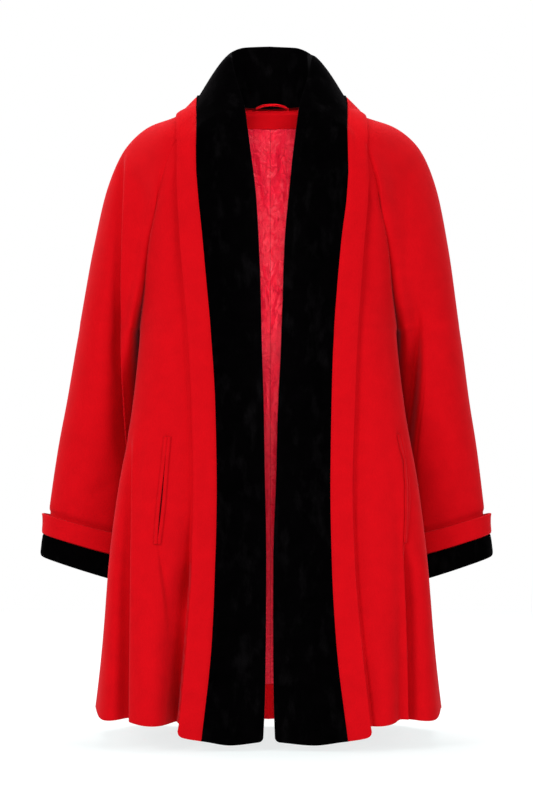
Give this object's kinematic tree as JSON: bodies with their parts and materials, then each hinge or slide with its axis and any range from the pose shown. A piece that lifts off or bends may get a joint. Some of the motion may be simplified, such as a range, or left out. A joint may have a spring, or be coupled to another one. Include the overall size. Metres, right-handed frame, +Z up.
{
  "type": "wool coat",
  "caption": "Wool swing coat with raglan sleeves, turn-back cuffs, slanted jetted pockets and a full-length shawl collar of velvet and wool, worn open",
  "frame": {"origin": "the middle of the neck opening, level with the tops of the shoulders, where the wearer's shoulders hold the coat up", "axes": "+Z is up along the centre back, the front of the coat faces -Y, +X is the wearer's left"},
  "size_m": [0.6757, 0.4175, 1.035],
  "materials": {
    "wool": "soft, lightly milled wool",
    "velvet": "black cotton velvet with a short nap",
    "lining": "crinkled satin"
  },
  "bodies": {
    "root": {"front_right": "wool", "sleeve_right": "wool", "cuff_wool_right": "wool", "cuff_velvet_right": "velvet", "shawl_velvet_right": "velvet", "shawl_border_right": "wool", "pocket_lip_inner_right": "wool", "pocket_lip_outer_right": "wool", "front_left": "wool", "sleeve_left": "wool", "cuff_wool_left": "wool", "cuff_velvet_left": "velvet", "shawl_velvet_left": "velvet", "shawl_border_left": "wool", "pocket_lip_inner_left": "wool", "pocket_lip_outer_left": "wool", "back": "wool", "neck_facing": "wool", "lining_back": "lining", "hem_facing": "wool", "hanger_loop": "wool"}
  },
  "joints": []
}
